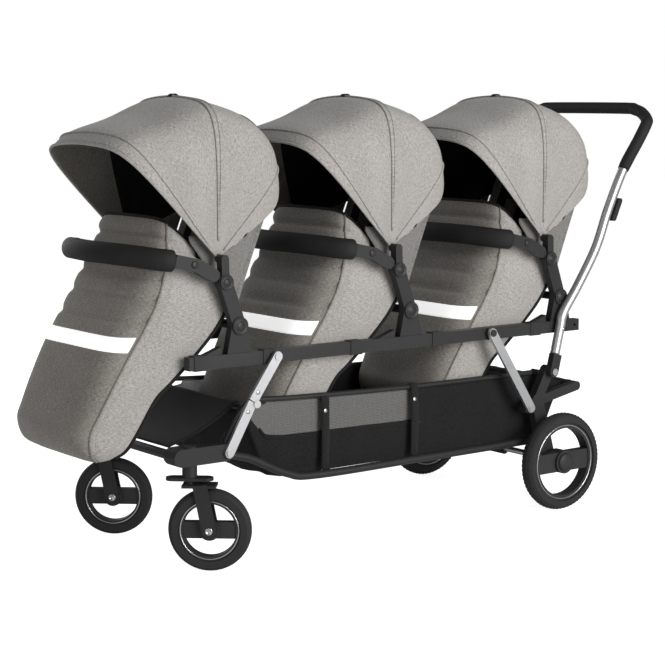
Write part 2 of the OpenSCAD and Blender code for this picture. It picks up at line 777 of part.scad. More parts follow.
module seat_2_liner() {
    color("#202022") seat(2) liner();
}

module seat_2_footmuff() {
    color("#8b857c") seat(2) footmuff();
}

module seat_2_canopy_rear() {
    color("#9a948b") seat(2) canopy_rear();
}

module seat_2_canopy_front() {
    color("#9a948b") seat(2) canopy_front();
}

module seat_2_bumper_brackets() {
    color("#1a1a1b") seat(2) bumper_brackets();
}

module seat_2_bumper_grip() {
    color("#19191a") seat(2) bumper_grip();
}

module seat_3_frame() {
    color("#161618") seat(3) seat_frame();
}

module seat_3_liner() {
    color("#202022") seat(3) liner();
}

module seat_3_footmuff() {
    color("#8b857c") seat(3) footmuff();
}

module seat_3_canopy_rear() {
    color("#9a948b") seat(3) canopy_rear();
}

module seat_3_canopy_front() {
    color("#9a948b") seat(3) canopy_front();
}

module seat_3_bumper_brackets() {
    color("#1a1a1b") seat(3) bumper_brackets();
}

module seat_3_bumper_grip() {
    color("#19191a") seat(3) bumper_grip();
}

lower_frame();
front_crossbar();
front_brackets();
rear_axle();
rear_brackets();
basket_rim();
basket();
footrest_sling();
rear_bar();
base_pins();
brake_pedal();
rear_left_tyre();
rear_left_rim();
rear_right_tyre();
rear_right_rim();
front_left_fork();
front_left_tyre();
front_left_rim();
front_right_fork();
front_right_tyre();
front_right_rim();
swivel_lock_left();
swivel_lock_right();
rear_struts();
rails();
rail_fittings();
front_lower_legs();
front_upper_legs();
handle_tube();
handle_feet();
handle_grip();
fold_levers();
seat_1_frame();
seat_1_liner();
seat_1_footmuff();
seat_1_canopy_rear();
seat_1_canopy_front();
seat_1_bumper_brackets();
seat_1_bumper_grip();
seat_2_frame();
seat_2_liner();
seat_2_footmuff();
seat_2_canopy_rear();
seat_2_canopy_front();
seat_2_bumper_brackets();
seat_2_bumper_grip();
seat_3_frame();
seat_3_liner();
seat_3_footmuff();
seat_3_canopy_rear();
seat_3_canopy_front();
seat_3_bumper_brackets();
seat_3_bumper_grip();
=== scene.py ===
import json
import math

import bmesh
import bpy
import numpy as np
from mathutils import Matrix, Vector


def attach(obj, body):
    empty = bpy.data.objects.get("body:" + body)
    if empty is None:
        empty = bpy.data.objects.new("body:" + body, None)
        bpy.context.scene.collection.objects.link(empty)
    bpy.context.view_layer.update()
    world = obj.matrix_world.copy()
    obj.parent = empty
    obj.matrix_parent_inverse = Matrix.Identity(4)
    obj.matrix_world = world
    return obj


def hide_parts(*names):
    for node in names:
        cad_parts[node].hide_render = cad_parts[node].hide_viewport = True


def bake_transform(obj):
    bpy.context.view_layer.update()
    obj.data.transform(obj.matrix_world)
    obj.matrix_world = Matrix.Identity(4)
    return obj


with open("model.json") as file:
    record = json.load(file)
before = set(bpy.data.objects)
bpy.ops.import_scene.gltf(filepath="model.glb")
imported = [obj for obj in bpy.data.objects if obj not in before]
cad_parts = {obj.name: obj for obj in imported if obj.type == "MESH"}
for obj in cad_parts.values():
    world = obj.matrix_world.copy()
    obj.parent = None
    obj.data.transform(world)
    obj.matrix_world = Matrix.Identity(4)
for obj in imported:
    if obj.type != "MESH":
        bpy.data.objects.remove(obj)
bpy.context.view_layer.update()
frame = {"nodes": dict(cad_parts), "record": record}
nodes = frame["nodes"]
print("frame loaded")

midX = 0.49323325  # from the rear axle to the middle of the length
seatX = [0.9619575 - 0.5 * k - midX for k in range(3)]  # lower hub of each seat
midY = 0.0106369  # the turned castor reaches further on the left
pivot = np.array([0.038, 0.700])  # canopy pivot, from the hub and the floor
bothSides = ((-1, "Right"), (1, "Left"))


# shader maths

class Sock:
    def __init__(self, shade, socket):
        self.shade = shade
        self.socket = socket

    def maths(self, operation, a, b):
        return self.shade.node("ShaderNodeMath", {"operation": operation}, {0: a, 1: b})

    def __add__(self, other):
        return self.maths("ADD", self, other)

    __radd__ = __add__

    def __rsub__(self, other):
        return self.maths("SUBTRACT", other, self)

    def __mul__(self, other):
        return self.maths("MULTIPLY", self, other)

    def __gt__(self, other):
        return self.maths("GREATER_THAN", self, other)


class Shade:
    def __init__(self, name):
        self.material = bpy.data.materials.new(name)
        self.material.use_nodes = True
        self.tree = self.material.node_tree
        self.surface = self.tree.nodes["Principled BSDF"]

    def feed(self, socket, value):
        if isinstance(value, Sock):
            self.tree.links.new(value.socket, socket)
        else:
            socket.default_value = value

    def node(self, kind, settings=None, values=None, out=0):
        made = self.tree.nodes.new(kind)
        for key, value in (settings or {}).items():
            if key == "stops":
                ramp = made.color_ramp.elements
                while len(ramp) < len(value):
                    ramp.new(0.5)
                for stop, (place, colour) in zip(ramp, value):
                    stop.position = place
                    stop.color = (*colour, 1)
            else:
                setattr(made, key, value)
        for key, value in (values or {}).items():
            self.feed(made.inputs[key], value)
        return Sock(self, made.outputs[out])

    def place(self, scale, source="Object"):
        made = self.tree.nodes.new("ShaderNodeTexCoord")
        spot = Sock(self, made.outputs[source])
        return self.node("ShaderNodeMapping", {}, {"Vector": spot, "Scale": scale})

    def noise(self, vector, scale, detail=3.0, rough=0.55):
        values = {"Vector": vector, "Scale": scale, "Detail": detail, "Roughness": rough}
        return self.node("ShaderNodeTexNoise", {}, values)

    def mix(self, factor, a, b):
        return self.node("ShaderNodeMix", {"data_type": "RGBA"}, {0: factor, 6: a, 7: b}, out=2)

    def ramp(self, factor, stops):
        return self.node("ShaderNodeValToRGB", {"stops": stops}, {"Fac": factor})

    def bump(self, height, strength, distance):
        values = {"Strength": strength, "Distance": distance, "Height": height}
        return self.node("ShaderNodeBump", {}, values)

    def set(self, **values):
        for key, value in values.items():
            self.feed(self.surface.inputs[key.replace("_", " ")], value)
        return self.material


def clothFinish(name, dark, light, weave=1.0, sheen=0.25):
    shade = Shade(name)
    uv = shade.place((1, 1, 1), "UV")
    # long flecks both ways; the map is the flat cloth in metres
    warp = shade.noise(shade.place((620, 105, 1), "UV"), 1.0, 3.0)
    weft = shade.noise(shade.place((105, 620, 1), "UV"), 1.0, 3.0)
    fleck = warp * 0.4 + weft * 0.6
    cloud = shade.noise(uv, 9.0, 3.0)
    tone = shade.ramp(fleck * 0.9 + cloud * 0.1, [(0.38, dark), (0.62, light)])
    threads = {"Vector": uv, "Scale": 150.0 * weave}
    up = shade.node("ShaderNodeTexWave", {"wave_type": "BANDS", "bands_direction": "X"}, threads, out=1)
    over = shade.node("ShaderNodeTexWave", {"wave_type": "BANDS", "bands_direction": "Y"}, threads, out=1)
    height = up * over + fleck * 0.6
    return shade.set(Base_Color=tone, Roughness=0.82 + fleck * 0.14, Sheen_Weight=sheen,
                     Sheen_Roughness=0.5, Specular_IOR_Level=0.15,
                     Normal=shade.bump(height, 0.35, 0.0006))


def netFinish(name, colour):
    shade = Shade(name)
    cells = shade.place((260, 260, 1), "UV")
    hole = shade.node("ShaderNodeTexVoronoi", {"feature": "DISTANCE_TO_EDGE"},
                      {"Vector": cells, "Scale": 1.0, "Randomness": 0.15})
    thread = 1.0 - (hole > 0.16) * 0.42
    return shade.set(Base_Color=(*colour, 1), Roughness=0.7, Alpha=thread)


def mouldedFinish(name, colour, rough=0.5, grain=900.0, depth=0.00025, coat=0.0, shine=0.3):
    shade = Shade(name)
    place = shade.place((1, 1, 1))
    fine = shade.noise(place, grain, 2.0)
    broad = shade.noise(place, 7.0, 4.0)
    dust = tuple(min(1, c * 1.55 + 0.006) for c in colour)
    tone = shade.mix(broad, (*colour, 1), (*dust, 1))
    return shade.set(Base_Color=tone, Roughness=rough + fine * 0.1 + broad * 0.06, Coat_Weight=coat,
                     Specular_IOR_Level=shine,
                     Normal=shade.bump(fine, 0.25, depth))


def metalFinish(name, colour, rough, metallic, stretch=(40, 40, 900)):
    shade = Shade(name)
    drawn = shade.noise(shade.place(stretch), 1.0, 3.0)
    broad = shade.noise(shade.place((1, 1, 1)), 11.0, 3.0)
    dim = tuple(c * 0.8 for c in colour)
    tone = shade.mix(drawn * 0.6 + broad * 0.4, (*dim, 1), (*colour, 1))
    return shade.set(Base_Color=tone, Metallic=metallic, Roughness=rough + drawn * 0.12,
                     Normal=shade.bump(drawn, 0.12, 0.0002))


greyCloth = clothFinish("greyMelangeCloth", (0.19, 0.179, 0.166), (0.50, 0.482, 0.456))
# darker brown-grey for the front panels: partly the cloth's own colour, partly painted shade
frontClothWithPaintedShade = clothFinish("brownGreyClothWithPaintedShade", (0.118, 0.109, 0.097), (0.325, 0.303, 0.274))
blackCloth = clothFinish("blackPolyester", (0.006, 0.006, 0.0065), (0.020, 0.020, 0.021), 1.2, 0.05)
liningCloth = clothFinish("greyLining", (0.12, 0.115, 0.107), (0.27, 0.26, 0.245))
webbing = clothFinish("blackWebbing", (0.008, 0.008, 0.008), (0.026, 0.026, 0.027), 2.0, 0.05)
reflective = mouldedFinish("reflectiveBandPaintedGlow", (0.93, 0.93, 0.93), 0.4, 1400.0)
bandGlowInputs = reflective.node_tree.nodes["Principled BSDF"].inputs
bandGlowInputs["Emission Color"].default_value = (1, 1, 1, 1)
bandGlowInputs["Emission Strength"].default_value = 0.55  # painted glow: emission stands in for the light a reflective band sends back
thread = mouldedFinish("sewingThread", (0.30, 0.285, 0.265), 0.7, 1500.0)
net = netFinish("greyNet", (0.13, 0.127, 0.123))
foam = mouldedFinish("blackFoam", (0.010, 0.010, 0.0105), 0.62, 700.0, 0.0005, 0.0, 0.22)
tubeCoat = mouldedFinish("blackPowderCoat", (0.014, 0.014, 0.0145), 0.40, 1300.0, 0.00012, 0.05)
moulding = mouldedFinish("blackMoulding", (0.014, 0.014, 0.0145), 0.48, 900.0)
satin = mouldedFinish("satinMoulding", (0.015, 0.015, 0.0155), 0.42, 1200.0, 0.0001, 0.08)
silver = metalFinish("satinAnodised", (0.58, 0.585, 0.595), 0.34, 0.9)
bright = metalFinish("zincPlate", (0.66, 0.66, 0.67), 0.24, 1.0)
tyreRubber = mouldedFinish("tyreRubber", (0.016, 0.016, 0.016), 0.68, 500.0, 0.0004)
rimPlastic = mouldedFinish("rimMoulding", (0.018, 0.018, 0.0185), 0.44, 1000.0)
print("finishes made")


# meshes

def between(a, b, c, d, t):
    return 0.5 * (2 * b + (c - a) * t + (2 * a - 5 * b + 4 * c - d) * t ** 2
                  + (3 * b - a - 3 * c + d) * t ** 3)


def smoothLine(points, count):
    points = np.asarray(points, float)
    padded = np.vstack([2 * points[0] - points[1], points, 2 * points[-1] - points[-2]])
    along = np.concatenate([[0], np.cumsum(np.linalg.norm(np.diff(points, axis=0), axis=1))])
    want = np.linspace(0, along[-1], count)
    made = []
    for w in want:
        i = min(max(int(np.searchsorted(along, w, "right")) - 1, 0), len(points) - 2)
        t = (w - along[i]) / (along[i + 1] - along[i])
        made.append(between(*padded[i:i + 4], t))
    return np.array(made)


def catmull(points, steps):
    points = np.asarray(points, float)
    made = []
    for i in range(len(points) - 1):
        a, b = points[max(i - 1, 0)], points[i]
        c, d = points[i + 1], points[min(i + 2, len(points) - 1)]
        for k in range(steps):
            made.append(between(a, b, c, d, k / steps))
    made.append(points[-1])
    return np.array(made)


def meshObject(name, verts, faces, finishes, uv=None, pick=None):
    mesh = bpy.data.meshes.new(name)
    mesh.from_pydata([(v[0], v[1] - midY, v[2]) for v in verts], [], faces)
    for finish in finishes:
        mesh.materials.append(finish)
    mesh.polygons.foreach_set("use_smooth", [True] * len(mesh.polygons))
    if pick is not None:
        mesh.polygons.foreach_set("material_index", pick)
    if uv is not None:
        layer = mesh.uv_layers.new(name="cloth")
        flat = [c for loop in mesh.loops for c in uv[loop.vertex_index]]
        layer.data.foreach_set("uv", flat)
    mesh.update()
    made = bpy.data.objects.new(name, mesh)
    bpy.context.collection.objects.link(made)
    return made


def gridUv(grid):
    rows = np.concatenate([[0], np.cumsum(np.linalg.norm(np.diff(grid, axis=0), axis=2).max(axis=1))])
    wide = np.zeros(grid.shape[:2])
    wide[:, 1:] = np.cumsum(np.linalg.norm(np.diff(grid, axis=1), axis=2), axis=1)
    wide -= wide[:, grid.shape[1] // 2:grid.shape[1] // 2 + 1]
    return np.stack([wide, np.repeat(rows[:, None], grid.shape[1], 1)], 2)


def sheetObject(name, grid, finishes, wall, pick=None, outward=1, inside=None):
    n, m = grid.shape[:2]
    du = np.gradient(grid, axis=0)
    dv = np.gradient(grid, axis=1)
    normal = np.cross(du, dv)
    normal /= np.maximum(np.linalg.norm(normal, axis=2, keepdims=True), 1e-9)
    inner = grid - normal * wall * outward
    uv = gridUv(grid).reshape(-1, 2)
    verts = np.vstack([grid.reshape(-1, 3), inner.reshape(-1, 3)])
    faces = []
    chosen = []
    o = n * m
    for i in range(n - 1):
        for j in range(m - 1):
            a, b, c, d = i * m + j, i * m + j + 1, (i + 1) * m + j + 1, (i + 1) * m + j
            kind = pick(i, j) if pick else 0
            faces.append((a, d, c, b) if outward > 0 else (a, b, c, d))
            faces.append((o + a, o + b, o + c, o + d) if outward > 0 else (o + a, o + d, o + c, o + b))
            chosen += [kind, inside(i, j) if inside else kind]
    edges = [(i * m, (i + 1) * m) for i in range(n - 1)]
    edges += [((i + 1) * m + m - 1, i * m + m - 1) for i in range(n - 1)]
    edges += [(j + 1, j) for j in range(m - 1)]
    edges += [((n - 1) * m + j, (n - 1) * m + j + 1) for j in range(m - 1)]
    for a, b in edges:
        faces.append((a, o + a, o + b, b) if outward > 0 else (a, b, o + b, o + a))
        i, j = divmod(min(a, b), m)
        chosen.append(pick(min(i, n - 2), min(j, m - 2)) if pick else 0)
    made = meshObject(name, verts, faces, finishes, np.vstack([uv, uv]), chosen)
    fixNormals(made)
    return made


def fixNormals(made):
    work = bmesh.new()
    work.from_mesh(made.data)
    bmesh.ops.recalc_face_normals(work, faces=work.faces)
    work.to_mesh(made.data)
    work.free()


def sheetSizes(grid):
    wide = np.linalg.norm(np.diff(grid, axis=1), axis=2).sum(1).max()
    long = np.linalg.norm(np.diff(grid, axis=0), axis=2).sum(0).max()
    a, b, c, d = grid[:-1, :-1], grid[1:, :-1], grid[1:, 1:], grid[:-1, 1:]
    area = 0.5 * np.linalg.norm(np.cross(b - a, c - a), axis=2).sum()
    area += 0.5 * np.linalg.norm(np.cross(c - a, d - a), axis=2).sum()
    return float(wide), float(long), float(area)


def ringFaces(n, sides):
    return [(i * sides + k, i * sides + (k + 1) % sides,
             (i + 1) * sides + (k + 1) % sides, (i + 1) * sides + k)
            for i in range(n - 1) for k in range(sides)]


def tubeObject(name, path, radius, finish, sides=20, flatten=None, rounded=0, closed=False):
    path = np.asarray(path, float)
    n = len(path)
    radii = np.full(n, radius, float) if np.isscalar(radius) else np.asarray(radius, float)
    if rounded:
        head = (path[1] - path[0]) / np.linalg.norm(path[1] - path[0])
        tail = (path[-1] - path[-2]) / np.linalg.norm(path[-1] - path[-2])
        dome = [math.radians(t) for t in np.linspace(90, 15, 6)]
        start = [path[0] - head * radii[0] * rounded * math.sin(t) for t in dome]
        end = [path[-1] + tail * radii[-1] * rounded * math.sin(t) for t in dome[::-1]]
        startR = [max(radii[0] * math.cos(t), radii[0] * 0.05) for t in dome]
        endR = [max(radii[-1] * math.cos(t), radii[-1] * 0.05) for t in dome[::-1]]
        path = np.vstack([start, path, end])
        radii = np.concatenate([startR, radii, endR])
        n = len(path)
    tangent = np.gradient(path, axis=0)
    tangent /= np.linalg.norm(tangent, axis=1, keepdims=True)
    side = np.cross(tangent[0], (0.13, 0.27, 0.95))
    if flatten:
        side = np.cross(tangent[0], (0, 0, 1))
    side /= np.linalg.norm(side)
    verts = []
    uv = []
    run = 0
    for i in range(n):
        if i:
            side = side - tangent[i] * np.dot(side, tangent[i])
            side /= np.linalg.norm(side)
            run += np.linalg.norm(path[i] - path[i - 1])
        up = np.cross(side, tangent[i])
        for k in range(sides):
            turn = 2 * math.pi * k / sides
            a, b = (1, 1) if not flatten else flatten
            verts.append(path[i] + radii[i] * (a * math.cos(turn) * side + b * math.sin(turn) * up))
            uv.append((turn * radii[i], run))
    faces = ringFaces(n, sides)
    last = (n - 1) * sides
    if closed:
        faces += [(last + k, last + (k + 1) % sides, (k + 1) % sides, k) for k in range(sides)]
    else:
        faces += [tuple(range(sides)), tuple(range(last, n * sides))]
    made = meshObject(name, verts, faces, [finish], uv)
    fixNormals(made)
    return made


def lathe(name, profile, centre, axis, finish, steps=40):
    axis = Vector(axis).normalized()
    side = axis.orthogonal().normalized()
    up = axis.cross(side)
    verts = []
    for r, h in profile:
        for k in range(steps):
            turn = 2 * math.pi * k / steps
            verts.append(Vector(centre) + axis * h
                         + side * (r * math.cos(turn)) + up * (r * math.sin(turn)))
    n = len(profile)
    faces = ringFaces(n, steps)
    faces += [tuple(range(steps)), tuple(range((n - 1) * steps, n * steps))]
    made = meshObject(name, verts, faces, [finish])
    fixNormals(made)
    return made


def ribbon(name, path, across, normal, width, wall, finish):
    path = np.asarray(path, float)
    across = np.broadcast_to(np.asarray(across, float), path.shape)
    normal = np.broadcast_to(np.asarray(normal, float), path.shape)
    grid = np.stack([path - across * width / 2, path, path + across * width / 2], 1)
    return sheetObject(name, grid + normal[:, None] * wall, [finish], wall * 0.8)


# repeated small pieces from one node tree: dashes or domes on points

def scatter(name, points, headings, size, finish):
    tree = bpy.data.node_groups.new(name + "Tree", "GeometryNodeTree")
    tree.interface.new_socket("Geometry", in_out="INPUT", socket_type="NodeSocketGeometry")
    tree.interface.new_socket("Geometry", in_out="OUTPUT", socket_type="NodeSocketGeometry")
    sizeSocket = tree.interface.new_socket("Size", in_out="INPUT", socket_type="NodeSocketVector")
    enter = tree.nodes.new("NodeGroupInput")
    leave = tree.nodes.new("NodeGroupOutput")
    bead = tree.nodes.new("GeometryNodeMeshUVSphere")
    bead.inputs["Segments"].default_value = 8
    bead.inputs["Rings"].default_value = 5
    bead.inputs["Radius"].default_value = 0.5
    turn = tree.nodes.new("GeometryNodeInputNamedAttribute")
    turn.data_type = "FLOAT_VECTOR"
    turn.inputs["Name"].default_value = "heading"
    align = tree.nodes.new("FunctionNodeAlignRotationToVector")
    align.axis = "Z"
    put = tree.nodes.new("GeometryNodeInstanceOnPoints")
    real = tree.nodes.new("GeometryNodeRealizeInstances")
    paint = tree.nodes.new("GeometryNodeSetMaterial")
    paint.inputs["Material"].default_value = finish
    link = tree.links.new
    link(enter.outputs["Geometry"], put.inputs["Points"])
    link(bead.outputs["Mesh"], put.inputs["Instance"])
    link(turn.outputs["Attribute"], align.inputs["Vector"])
    link(align.outputs["Rotation"], put.inputs["Rotation"])
    link(enter.outputs["Size"], put.inputs["Scale"])
    link(put.outputs["Instances"], real.inputs["Geometry"])
    link(real.outputs["Geometry"], paint.inputs["Geometry"])
    link(paint.outputs["Geometry"], leave.inputs["Geometry"])
    mesh = bpy.data.meshes.new(name + "Points")
    mesh.from_pydata([(p[0], p[1] - midY, p[2]) for p in points], [], [])
    heading = mesh.attributes.new("heading", "FLOAT_VECTOR", "POINT")
    heading.data.foreach_set("vector", np.asarray(headings, np.float32).ravel())
    holder = bpy.data.objects.new(name + "Points", mesh)
    bpy.context.collection.objects.link(holder)
    change = holder.modifiers.new("scatter", "NODES")
    change.node_group = tree
    change[sizeSocket.identifier] = size
    graph = bpy.context.evaluated_depsgraph_get()
    final = bpy.data.meshes.new_from_object(holder.evaluated_get(graph))
    bpy.data.objects.remove(holder)
    final.name = name
    final.polygons.foreach_set("use_smooth", [True] * len(final.polygons))
    made = bpy.data.objects.new(name, final)
    bpy.context.collection.objects.link(made)
    return made


def dashes(path, pitch):
    path = np.asarray(path, float)
    along = np.concatenate([[0], np.cumsum(np.linalg.norm(np.diff(path, axis=0), axis=1))])
    want = np.arange(pitch, along[-1] - pitch, pitch)
    points = np.stack([np.interp(want, along, path[:, k]) for k in range(3)], 1)
    ahead = np.stack([np.interp(want + pitch * 0.3, along, path[:, k]) for k in range(3)], 1)
    return points, ahead - points


def seated(made, k, body):
    made.data.transform(Matrix.Translation((seatX[k], 0, 0)))
    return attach(made, body)


# canopies: one sheet from the visor to the back

canopySize = {"radius": 0.361, "half": 0.195, "backHalf": 0.191, "wall": 0.0022, "sag": 0.022}
visorTurn = 44  # degrees ahead of the main rib, as the two below
hemTurn = 38
backHemTurn = -57.8
bowHalf = [(1, 0.02), (1, 0.3), (1, 0.5), (0.985, 0.66), (0.94, 0.8), (0.85, 0.9), (0.7, 0.955),
           (0.45, 0.985), (0, 1)]
backTurn = [(0, 1.0), (-10, 0.982), (-24, 0.962), (-36, 0.91), (-46, 0.805), (-57.5, 0.675), (-58, 0.53)]


def bowPoint(turn, reach, share, half):
    turn = math.radians(turn)
    ahead = math.sin(turn) * reach * share[1]
    above = math.cos(turn) * reach * share[1]
    return (pivot[0] + ahead, share[0] * half, pivot[1] + above)


def bowShares(count):
    whole = bowHalf + [(-y, r) for y, r in bowHalf[-2::-1]]
    return smoothLine(whole, count)


def canopyReach(turn):
    if turn >= 0:
        lift = math.sin(math.pi * min(1, turn / hemTurn)) ** 1.2 if turn < hemTurn else 0
        return canopySize["radius"] * (1 - 0.006 * turn / visorTurn) - canopySize["sag"] * lift
    line = smoothLine(backTurn, 200)
    return canopySize["radius"] * float(np.interp(-turn, -line[:, 0], line[:, 1]))


def canopyGrid(across=73):
    shares = bowShares(across)
    turns = list(np.linspace(visorTurn, 0, 27)) + list(np.linspace(-2, -57.5, 32))
    rows = []
    for turn in turns:
        half = canopySize["half"] - 0.004 * min(1, max(0, -turn / 12))
        rows.append([bowPoint(turn, canopyReach(turn), s, half) for s in shares])
    for reach in (0.64, 0.60, 0.56, 0.53):
        low = canopySize["radius"] * reach
        rows.append([bowPoint(backHemTurn, low, s, canopySize["backHalf"]) for s in shares])
    turns += [backHemTurn] * 4
    return np.array(rows), turns


def arc(turn, lift=0.0, count=120, trim=0.0, half=None):
    shares = bowShares(count)
    half = half or canopySize["half"]
    points = []
    for y, r in shares:
        if r < trim:
            continue
        points.append(bowPoint(turn, canopyReach(turn) + lift, (y, r), half + lift))
    return np.array(points)


grid, turns = canopyGrid()
wide, long, area = sheetSizes(grid)
for k in range(3):
    seat, canopy = "seat_%d" % (k + 1), "canopy_%d" % (k + 1)
    placed = grid + np.array([seatX[k], 0, 0])
    # inner faces take the darker front cloth under the visor, partly painted shade, and black lining
    # further back
    hood = sheetObject("canopySheet%d" % (k + 1), placed, [greyCloth, frontClothWithPaintedShade, blackCloth],
                       canopySize["wall"], None, 1, lambda i, j: 1 if turns[i] > 15 else 2)
    top = (seatX[k] + pivot[0], 0, 1.061)
    fore = (top[0] + 0.25, 0, 0.96)
    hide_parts("seat_%d_canopy_front" % (k + 1), "seat_%d_canopy_rear" % (k + 1))
    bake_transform(hood)
    # piping on the visor edge, ribs, tabs and stitches
    edge = tubeObject("visorPiping%d" % (k + 1), arc(visorTurn, 0.0005), 0.0032, greyCloth, 10)
    seated(edge, k, canopy)
    hem = tubeObject("visorHem%d" % (k + 1), arc(hemTurn, 0.0012, trim=0.06), 0.0020, greyCloth, 8)
    hem.data.transform(Matrix.Translation((seatX[k], 0, 0)))
    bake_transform(hem)
    rows = np.stack([arc(t, 0.0016, trim=0.1) for t in (0.0, -0.8, -1.6, -2.4)], 0)
    rib = sheetObject("canopyRib%d" % (k + 1), rows, [greyCloth], 0.0014)
    seated(rib, k, seat)
    for word, t in (("Front", 0.0), ("Back", -2.4)):
        piping = tubeObject("ribPiping%s%d" % (word, k + 1), arc(t, 0.0018, trim=0.1), 0.0024, greyCloth, 8)
        seated(piping, k, seat)
    points, headings = [], []
    for t in (-0.35, -2.05):
        p, h = dashes(arc(t, 0.0024, trim=0.1), 0.0065)
        points.append(p)
        headings.append(h)
    sewn = scatter("ribStitches%d" % (k + 1), np.vstack(points), np.vstack(headings),
                   (0.0012, 0.0012, 0.0042), thread)
    seated(sewn, k, seat)
    backLine = arc(-44, 0.0008, trim=0.06, half=canopySize["backHalf"])
    backPipe = tubeObject("backPiping%d" % (k + 1), backLine, 0.0026, greyCloth, 10)
    seated(backPipe, k, seat)
    flap = np.array([[bowPoint(t, canopyReach(t) + 0.0018, (y, r), canopySize["backHalf"])
                      for y, r in bowShares(121) if abs(y) <= 0.62] for t in np.linspace(-21, -34, 13)])
    puff = 0.009 * np.sin(np.linspace(0, math.pi, 13))[:, None]
    flap[:, :, 2] += puff * (1 - (flap[:, :, 1] / 0.13) ** 2).clip(0)
    vent = sheetObject("ventFlap%d" % (k + 1), flap, [blackCloth], 0.0016)
    seated(vent, k, seat)
    tab = []
    for t in np.linspace(-3.2, 0.8, 9):
        reach = canopyReach(t) + 0.0025 + 0.006 * math.sin(math.pi * (t + 3.2) / 4)
        tab.append([bowPoint(t, reach, (y, 1.0), canopySize["half"]) for y in (-0.045, 0, 0.045)])
    pull = sheetObject("topTab%d" % (k + 1), np.array(tab), [blackCloth], 0.0012)
    seated(pull, k, seat)
print("canopies made")


# footmuffs: padded shells with piping, quilting and a reflective band

muffSize = {"wall": 0.0085, "seam": 0.94, "quiltDepth": 0.0062, "crown": 0.006, "collar": 0.005}
muffFront = [(150, 792), (188, 712), (236, 622), (284, 542), (314, 490), (346, 424), (374, 362),
             (388, 326), (374, 282), (336, 258)]
muffBack = [(96, 742), (40, 664), (12, 600), (40, 545), (100, 482), (160, 426), (196, 392),
            (238, 324), (268, 280), (300, 262)]
muffWide = [146, 172, 188, 190, 188, 184, 178, 172, 164, 148]
muffAcross = [(1, 0), (1, 0.35), (0.98, 0.65), (0.9, 0.86), (0.72, 0.965), (0.4, 0.995), (0, 1)]
muffAcross = muffAcross + [(-y, d) for y, d in muffAcross[-2::-1]]
quiltHeights = [0.755, 0.668, 0.616, 0.568]
bandHeight = 0.518


def muffGrid(rows=96, across=81):
    stack = np.array([(*f, *b, w) for f, b, w in zip(muffFront, muffBack, muffWide)]) / 1000
    line = smoothLine(stack, rows)
    shares = smoothLine(muffAcross, across)
    made = np.zeros((rows, across, 3))
    for i in range(rows):
        front, back, half = line[i, :2], line[i, 2:4], line[i, 4]
        for j, (y, d) in enumerate(shares):
            spot = back + (front - back) * d
            made[i, j] = (spot[0], y * half, spot[1])
    return made, shares


def muffNormal(made):
    normal = np.cross(np.gradient(made, axis=0), np.gradient(made, axis=1))
    normal /= np.maximum(np.linalg.norm(normal, axis=2, keepdims=True), 1e-9)
    middle = normal[40, made.shape[1] // 2]
    return normal if middle[0] > 0 else -normal


muff, muffShares = muffGrid()
outward = muffNormal(muff)
rowShare = np.linspace(0, 1, muff.shape[0])
frontHeight = muff[:70, muff.shape[1] // 2, 2]
quiltAt = [rowShare[int(np.argmin(np.abs(frontHeight - z)))] for z in quiltHeights]
bandRow = int(np.argmin(np.abs(frontHeight - bandHeight)))
push = np.zeros(muff.shape[:2])
for i, v in enumerate(rowShare):
    for j, (y, d) in enumerate(muffShares):
        crown = math.cos(min(1, abs(y) / muffSize["seam"]) * math.pi / 2) * muffSize["crown"]
        crown *= math.sin(math.pi * v)
        groove = 0.0
        if abs(y) < muffSize["seam"] or v < quiltAt[0] * 1.3:
            for q in quiltAt:
                groove += math.exp(-((v - q) / 0.013) ** 2)
        seam = math.exp(-((abs(y) - muffSize["seam"]) / 0.025) ** 2) * 0.002
        collar = muffSize["collar"] * math.sin(math.pi * min(1, v / quiltAt[0]))
        push[i, j] = crown + collar - groove * muffSize["quiltDepth"] - seam
muff = muff + outward * push[:, :, None]
seamColumn = int(np.argmin(np.abs(muffShares[:, 0] - muffSize["seam"])))
otherColumn = muff.shape[1] - 1 - seamColumn


# the front panel between the seams takes the darker cloth: partly its own colour, partly painted shade
def muffPick(i, j):
    return 1 if min(seamColumn, otherColumn) <= j < max(seamColumn, otherColumn) else 0


